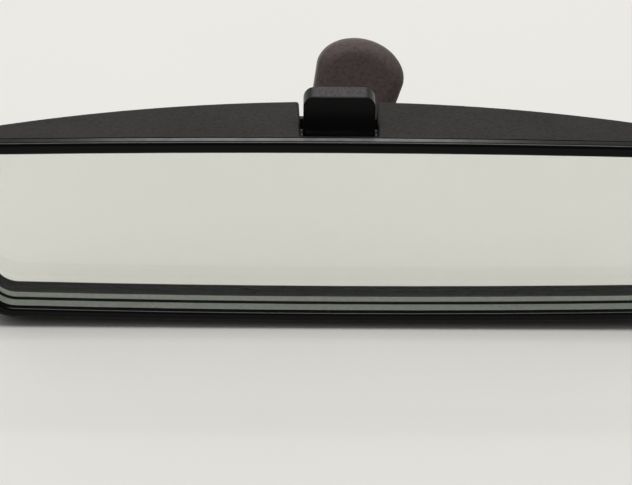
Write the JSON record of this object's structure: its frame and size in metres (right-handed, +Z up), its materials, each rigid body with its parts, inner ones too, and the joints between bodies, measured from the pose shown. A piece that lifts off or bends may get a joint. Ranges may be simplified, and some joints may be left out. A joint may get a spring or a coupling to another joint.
{
  "type": "interior rearview mirror",
  "caption": "Manual day/night interior rearview mirror: prism glass in a framed shell, flip lever, ball-jointed windshield foot.",
  "frame": {"origin": "centre of the foot's flat windshield face", "axes": "+X along the head's length, to the observer's right; +Y away from the observer, towards the windshield side; +Z up"},
  "size_m": [0.2388, 0.0909, 0.0752],
  "materials": {
    "housing_plastic": "fine moulded grain, brown-black",
    "bezel_plastic": "smooth satin black",
    "lever_plastic": "satin black with a grained top edge",
    "foot_plastic": "fine moulded grain, brown-black",
    "prism_glass": "polished wedge with ground edges",
    "silver": "silver coat under a grey safety film",
    "cast_zinc": "black-coated casting",
    "plated_steel": "turned and zinc plated",
    "stamped_steel": "pressed sheet, zinc plated",
    "fastener_steel": "blackened steel",
    "spring_steel": "blued spring steel",
    "nylon": "natural nylon",
    "soft_rubber": "matt black rubber",
    "foam": "open-cell black foam"
  },
  "bodies": {
    "foot": {"foot_core": "cast_zinc", "foot_cover": "foot_plastic", "retaining_spring": "spring_steel", "set_screw": "fastener_steel", "ball_stud": "plated_steel"},
    "liner": {"ball_liner": "nylon"},
    "socket": {"socket_cup": "plated_steel"},
    "carrier": {"carrier_plate": "stamped_steel", "socket_collar": "plated_steel", "collar_rivets": "fastener_steel", "retaining_ring": "spring_steel", "disc_spring": "spring_steel", "pivot_bushes": "nylon", "stop_bumpers": "soft_rubber"},
    "head": {"rear_housing": "housing_plastic", "bezel": "bezel_plastic", "mirror_glass": "prism_glass", "silvered_backing": "silver", "glass_pads": "foam", "pivot_pin": "plated_steel", "lever_pin": "plated_steel", "pin_clips": "spring_steel", "detent_spring": "spring_steel", "lever_bushes": "nylon"},
    "lever": {"lever": "lever_plastic"}
  },
  "joints": [
    {"name": "head_yaw", "type": "hinge", "parent": "foot", "child": "liner", "pos_m": [-0.00531, -0.0462, -0.00059], "axis": [0, 0.225, 0.9744], "range_deg": [-20, 20]},
    {"name": "head_pitch", "type": "hinge", "parent": "liner", "child": "socket", "pos_m": [-0.00531, -0.0462, -0.00059], "axis": [1, 0, 0], "range_deg": [-15, 15]},
    {"name": "head_roll", "type": "hinge", "parent": "socket", "child": "carrier", "pos_m": [-0.00531, -0.0462, -0.00059], "axis": [0, 0.9744, -0.225], "range_deg": [-180, 180]},
    {"name": "head_flip", "type": "hinge", "parent": "carrier", "child": "head", "pos_m": [-0.00531, -0.06089, -0.01977], "axis": [-1, 0, 0], "range_deg": [0, 4.77]},
    {"name": "lever_flip", "type": "hinge", "parent": "head", "child": "lever", "pos_m": [-0.00531, -0.05303, 0.0287], "axis": [-1, 0, 0], "range_deg": [0, 35]}
  ],
  "couplings": [
    {"joint": "head_flip", "follows": "lever_flip", "ratio": 0.13614}
  ]
}
